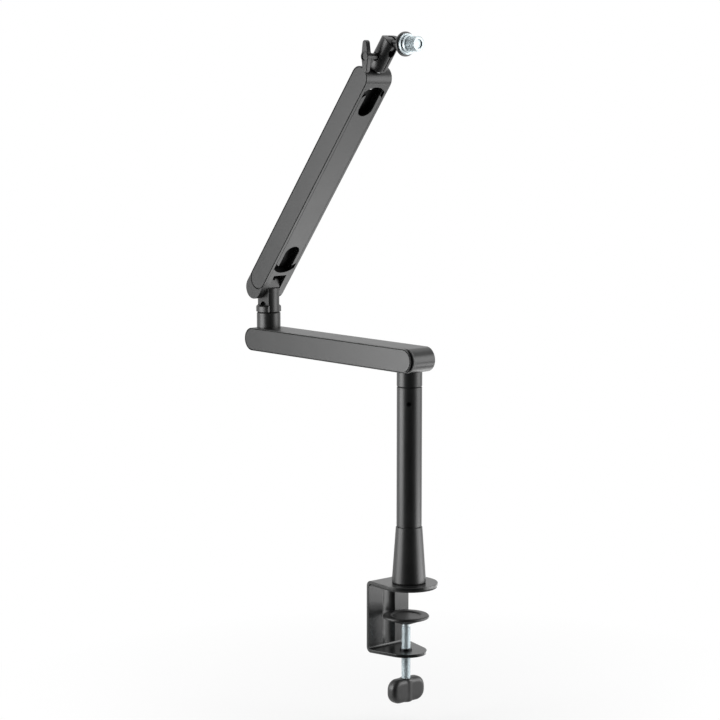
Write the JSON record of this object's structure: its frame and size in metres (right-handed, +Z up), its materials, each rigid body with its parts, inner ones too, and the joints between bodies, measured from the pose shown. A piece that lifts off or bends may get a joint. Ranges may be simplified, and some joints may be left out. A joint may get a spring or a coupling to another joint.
{
  "type": "microphone boom arm",
  "caption": "Desk-clamped boom arm with a swivelling riser, two slim box arms with covered cable channels, a ball head and a microphone thread.",
  "frame": {"origin": "on the riser's axis, on the desk's surface, which is the underside of the clamp's rubber pad", "axes": "+Z up along the riser; +X from the clamp's back toward the middle of the desk, the way the microphone thread points; +Y toward the far side of the arms"},
  "size_m": [0.293, 0.062, 0.7179],
  "materials": {
    "frame_black": "matte black powder coat",
    "steel_black": "matte black powder coat",
    "zinc": "bright zinc plating",
    "steel": "plain steel",
    "plastic": "fine grained satin",
    "rubber": "matte",
    "nylon": "natural nylon",
    "nylon_black": "black nylon"
  },
  "bodies": {
    "base": {"clamp_bracket": "steel_black", "top_grip_pad": "rubber", "clamp_insert": "zinc", "foot_bolt": "steel", "foot_washer": "nylon_black", "riser_foot": "frame_black", "riser_tube": "frame_black", "riser_bush": "nylon_black", "tension_screw": "steel"},
    "lower_arm": {"swivel_post": "frame_black", "post_lock_screw": "steel", "lower_frame": "frame_black", "lower_side_near": "frame_black", "lower_side_far": "frame_black", "lower_cable_cover": "plastic", "elbow_housing": "frame_black", "elbow_bush": "nylon_black", "access_plug": "plastic"},
    "elbow": {"elbow_post": "frame_black", "elbow_keeper_washer": "steel", "elbow_keeper_screw": "steel", "tilt_bush": "nylon", "post_spring_pin": "steel"},
    "upper_arm": {"tilt_washers": "nylon", "tilt_pin": "steel", "upper_frame": "frame_black", "upper_side_near": "frame_black", "upper_side_far": "frame_black", "channel_floor": "steel", "upper_cable_cover": "frame_black", "arm_spring_pin": "steel", "counter_spring": "steel"},
    "head": {"head_washer": "zinc", "ball_socket": "frame_black", "head_bolt": "steel", "head_bolt_washer": "steel"},
    "wing": {"wing_screw": "plastic"},
    "stem": {"ball_stem": "steel_black", "thread_adapter": "zinc"},
    "pad_ball": {"swivel_ball": "steel"},
    "screw": {"clamp_screw": "zinc", "clamp_knob": "plastic", "knob_pin": "steel"},
    "pad": {"pressure_pad": "plastic"}
  },
  "joints": [
    {"name": "lower_arm_swivel", "type": "hinge", "parent": "base", "child": "lower_arm", "pos_m": [0, 0, 0.2178], "axis": [0, 0, 1], "continuous": true},
    {"name": "elbow_swivel", "type": "hinge", "parent": "lower_arm", "child": "elbow", "pos_m": [-0.24, 0, 0.2774], "axis": [0, 0, 1], "continuous": true},
    {"name": "elbow_tilt", "type": "hinge", "parent": "elbow", "child": "upper_arm", "pos_m": [-0.24, 0, 0.3087], "axis": [0, 1, 0], "range_deg": [-38, 50], "deforming": ["counter_spring"]},
    {"name": "head_swivel", "type": "hinge", "parent": "upper_arm", "child": "head", "pos_m": [-0.05305, 0, 0.55286], "axis": [0.6157, 0, 0.788], "continuous": true},
    {"name": "wing_screw_turn", "type": "hinge", "parent": "head", "child": "wing", "pos_m": [-0.04381, 0, 0.56468], "axis": [0, -1, 0], "range_deg": [-90, 90]},
    {"name": "head_tilt", "type": "hinge", "parent": "head", "child": "stem", "pos_m": [-0.0339, 0, 0.57737], "axis": [0, 1, 0], "range_deg": [-52, 38]},
    {"name": "pad_travel", "type": "slide", "parent": "base", "child": "pad_ball", "axis": [0, 0, 1], "range_m": [-0.0225, 0.024]},
    {"name": "screw_turn", "type": "hinge", "parent": "pad_ball", "child": "screw", "pos_m": [-0.0045, 0, -0.0385], "axis": [0, 0, 1], "range_deg": [-5401, 5761]},
    {"name": "pad_tip", "type": "hinge", "parent": "pad_ball", "child": "pad", "pos_m": [-0.0045, 0, -0.0385], "axis": [0, 1, 0], "range_deg": [-6, 6]}
  ],
  "couplings": [
    {"joint": "screw_turn", "follows": "pad_travel", "rad_per_m": 4188.8}
  ]
}
